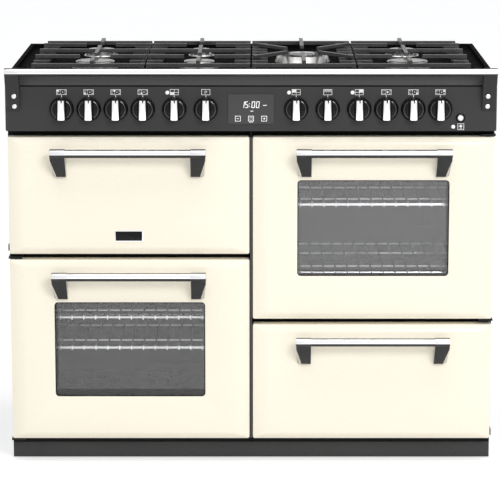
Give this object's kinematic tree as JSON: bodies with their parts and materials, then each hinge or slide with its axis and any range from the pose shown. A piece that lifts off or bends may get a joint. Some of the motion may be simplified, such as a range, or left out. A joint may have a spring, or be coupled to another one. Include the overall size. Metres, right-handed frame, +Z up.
{
  "type": "range cooker",
  "caption": "Free-standing dual-fuel range cooker with a gas hob under cast-iron pan supports, framed oven doors, bar handles and a towel rail.",
  "frame": {"origin": "on the floor under the centre of the outer box", "axes": "+X right seen from the front, +Y to the back, +Z up"},
  "size_m": [1.1, 0.648, 0.921],
  "materials": {
    "carcass_steel": "satin",
    "galvanised_sheet": "satin",
    "black_enamel": "gloss",
    "fascia_grey": "satin",
    "plinth_grey": "satin",
    "cream_enamel": "gloss",
    "chrome": "polished",
    "door_glass": "gloss",
    "clock_glass": "gloss",
    "knob_black": "satin",
    "button_white": "gloss",
    "cast_iron": "matt",
    "burner_alloy": "satin",
    "tube_steel": "satin",
    "gas_brass": "satin",
    "switch_plastic": "matt",
    "seal_rubber": "matt",
    "foot_plastic": "matt",
    "cavity_enamel": "gloss"
  },
  "bodies": {
    "cooker": {"base_frame": "galvanised_sheet", "side_panels": "black_enamel", "back_panel": "galvanised_sheet", "front_frame": "black_enamel", "plinth": "plinth_grey", "levelling_feet": "foot_plastic", "hob_tray": "black_enamel", "control_panel": "fascia_grey", "hob_rail": "chrome", "clock_module": "clock_glass", "burner_bases": "burner_alloy", "burner_caps": "burner_alloy", "burner_pipes": "tube_steel", "oven_racks": "chrome", "shelf_runners": "chrome", "fan_covers": "cavity_enamel", "fan_motors": "tube_steel", "heating_elements": "tube_steel", "gas_manifold": "tube_steel", "gas_taps": "gas_brass", "oven_switches": "switch_plastic", "door_seals": "seal_rubber", "door_hinges": "carcass_steel", "cavity_top_left": "cavity_enamel", "cavity_bottom_left": "cavity_enamel", "cavity_top_right": "cavity_enamel", "cavity_bottom_right": "cavity_enamel"},
    "door_top_left": {"door_panel_top_left": "cream_enamel", "door_liner_top_left": "black_enamel", "door_handle_top_left": "chrome"},
    "door_bottom_left": {"door_panel_bottom_left": "cream_enamel", "door_liner_bottom_left": "black_enamel", "door_handle_bottom_left": "chrome", "door_glass_bottom_left": "door_glass"},
    "door_top_right": {"door_panel_top_right": "cream_enamel", "door_liner_top_right": "black_enamel", "door_handle_top_right": "chrome", "door_glass_top_right": "door_glass"},
    "door_bottom_right": {"door_panel_bottom_right": "cream_enamel", "door_liner_bottom_right": "black_enamel", "door_handle_bottom_right": "chrome"},
    "knob_gas_1": {"knob_gas_1": "knob_black"},
    "knob_gas_2": {"knob_gas_2": "knob_black"},
    "knob_gas_3": {"knob_gas_3": "knob_black"},
    "knob_gas_4": {"knob_gas_4": "knob_black"},
    "knob_oven_bottom_left": {"knob_oven_bottom_left": "knob_black"},
    "knob_slow_cook": {"knob_slow_cook": "knob_black"},
    "knob_oven_top_left": {"knob_oven_top_left": "knob_black"},
    "knob_grill": {"knob_grill": "knob_black"},
    "knob_oven_top_right": {"knob_oven_top_right": "knob_black"},
    "knob_gas_5": {"knob_gas_5": "knob_black"},
    "knob_gas_6": {"knob_gas_6": "knob_black"},
    "knob_gas_7": {"knob_gas_7": "knob_black"},
    "light_button": {"light_button": "button_white"},
    "fan_bottom_left": {"fan_bottom_left": "tube_steel"},
    "fan_top_right": {"fan_top_right": "tube_steel"},
    "pan_support_1": {"pan_support_1": "cast_iron"},
    "pan_support_2": {"pan_support_2": "cast_iron"},
    "pan_support_3": {"pan_support_3": "cast_iron"},
    "pan_support_4": {"pan_support_4": "cast_iron"}
  },
  "joints": [
    {"name": "door_top_left_hinge", "type": "hinge", "parent": "cooker", "child": "door_top_left", "pos_m": [-0.2755, -0.256, 0.5025], "axis": [1, 0, 0], "range_deg": [0, 90], "stiffness_Nm_per_rad": 2, "springref_deg": -57.3},
    {"name": "door_bottom_left_hinge", "type": "hinge", "parent": "cooker", "child": "door_bottom_left", "pos_m": [-0.53325, -0.256, 0.26625], "axis": [0, 0, -1], "range_deg": [0, 105]},
    {"name": "door_top_right_hinge", "type": "hinge", "parent": "cooker", "child": "door_top_right", "pos_m": [0.53325, -0.256, 0.54725], "axis": [0, 0, 1], "range_deg": [0, 105]},
    {"name": "door_bottom_right_hinge", "type": "hinge", "parent": "cooker", "child": "door_bottom_right", "pos_m": [0.2755, -0.256, 0.071], "axis": [1, 0, 0], "range_deg": [0, 90], "stiffness_Nm_per_rad": 2, "springref_deg": -57.3},
    {"name": "knob_gas_1_turn", "type": "hinge", "parent": "cooker", "child": "knob_gas_1", "pos_m": [-0.4235, -0.286, 0.821], "axis": [0, -1, 0], "range_deg": [0, 210]},
    {"name": "knob_gas_2_turn", "type": "hinge", "parent": "cooker", "child": "knob_gas_2", "pos_m": [-0.363, -0.286, 0.821], "axis": [0, -1, 0], "range_deg": [0, 210]},
    {"name": "knob_gas_3_turn", "type": "hinge", "parent": "cooker", "child": "knob_gas_3", "pos_m": [-0.3025, -0.286, 0.821], "axis": [0, -1, 0], "range_deg": [0, 210]},
    {"name": "knob_gas_4_turn", "type": "hinge", "parent": "cooker", "child": "knob_gas_4", "pos_m": [-0.242, -0.286, 0.821], "axis": [0, -1, 0], "range_deg": [0, 210]},
    {"name": "knob_oven_bottom_left_turn", "type": "hinge", "parent": "cooker", "child": "knob_oven_bottom_left", "pos_m": [-0.1715, -0.286, 0.821], "axis": [0, 1, 0], "range_deg": [0, 270]},
    {"name": "knob_slow_cook_turn", "type": "hinge", "parent": "cooker", "child": "knob_slow_cook", "pos_m": [-0.101, -0.286, 0.821], "axis": [0, 1, 0], "range_deg": [0, 270]},
    {"name": "knob_oven_top_left_turn", "type": "hinge", "parent": "cooker", "child": "knob_oven_top_left", "pos_m": [0.101, -0.286, 0.821], "axis": [0, 1, 0], "range_deg": [0, 270]},
    {"name": "knob_grill_turn", "type": "hinge", "parent": "cooker", "child": "knob_grill", "pos_m": [0.1715, -0.286, 0.821], "axis": [0, 1, 0], "range_deg": [0, 270]},
    {"name": "knob_oven_top_right_turn", "type": "hinge", "parent": "cooker", "child": "knob_oven_top_right", "pos_m": [0.242, -0.286, 0.821], "axis": [0, 1, 0], "range_deg": [0, 270]},
    {"name": "knob_gas_5_turn", "type": "hinge", "parent": "cooker", "child": "knob_gas_5", "pos_m": [0.3025, -0.286, 0.821], "axis": [0, -1, 0], "range_deg": [0, 210]},
    {"name": "knob_gas_6_turn", "type": "hinge", "parent": "cooker", "child": "knob_gas_6", "pos_m": [0.363, -0.286, 0.821], "axis": [0, -1, 0], "range_deg": [0, 210]},
    {"name": "knob_gas_7_turn", "type": "hinge", "parent": "cooker", "child": "knob_gas_7", "pos_m": [0.4235, -0.286, 0.821], "axis": [0, -1, 0], "range_deg": [0, 210]},
    {"name": "light_button_press", "type": "slide", "parent": "cooker", "child": "light_button", "axis": [0, 1, 0], "range_m": [0, 0.003], "stiffness_N_per_m": 300, "springref_m": -0.002},
    {"name": "fan_bottom_left_spin", "type": "hinge", "parent": "cooker", "child": "fan_bottom_left", "pos_m": [-0.2755, 0.18, 0.26675], "axis": [0, 1, 0], "continuous": true},
    {"name": "fan_top_right_spin", "type": "hinge", "parent": "cooker", "child": "fan_top_right", "pos_m": [0.2755, 0.18, 0.54775], "axis": [0, 1, 0], "continuous": true},
    {"name": "pan_support_1_lift", "type": "slide", "parent": "cooker", "child": "pan_support_1", "axis": [0, 0, 1], "range_m": [0, 0.06]},
    {"name": "pan_support_2_lift", "type": "slide", "parent": "cooker", "child": "pan_support_2", "axis": [0, 0, 1], "range_m": [0, 0.06]},
    {"name": "pan_support_3_lift", "type": "slide", "parent": "cooker", "child": "pan_support_3", "axis": [0, 0, 1], "range_m": [0, 0.06]},
    {"name": "pan_support_4_lift", "type": "slide", "parent": "cooker", "child": "pan_support_4", "axis": [0, 0, 1], "range_m": [0, 0.06]}
  ]
}
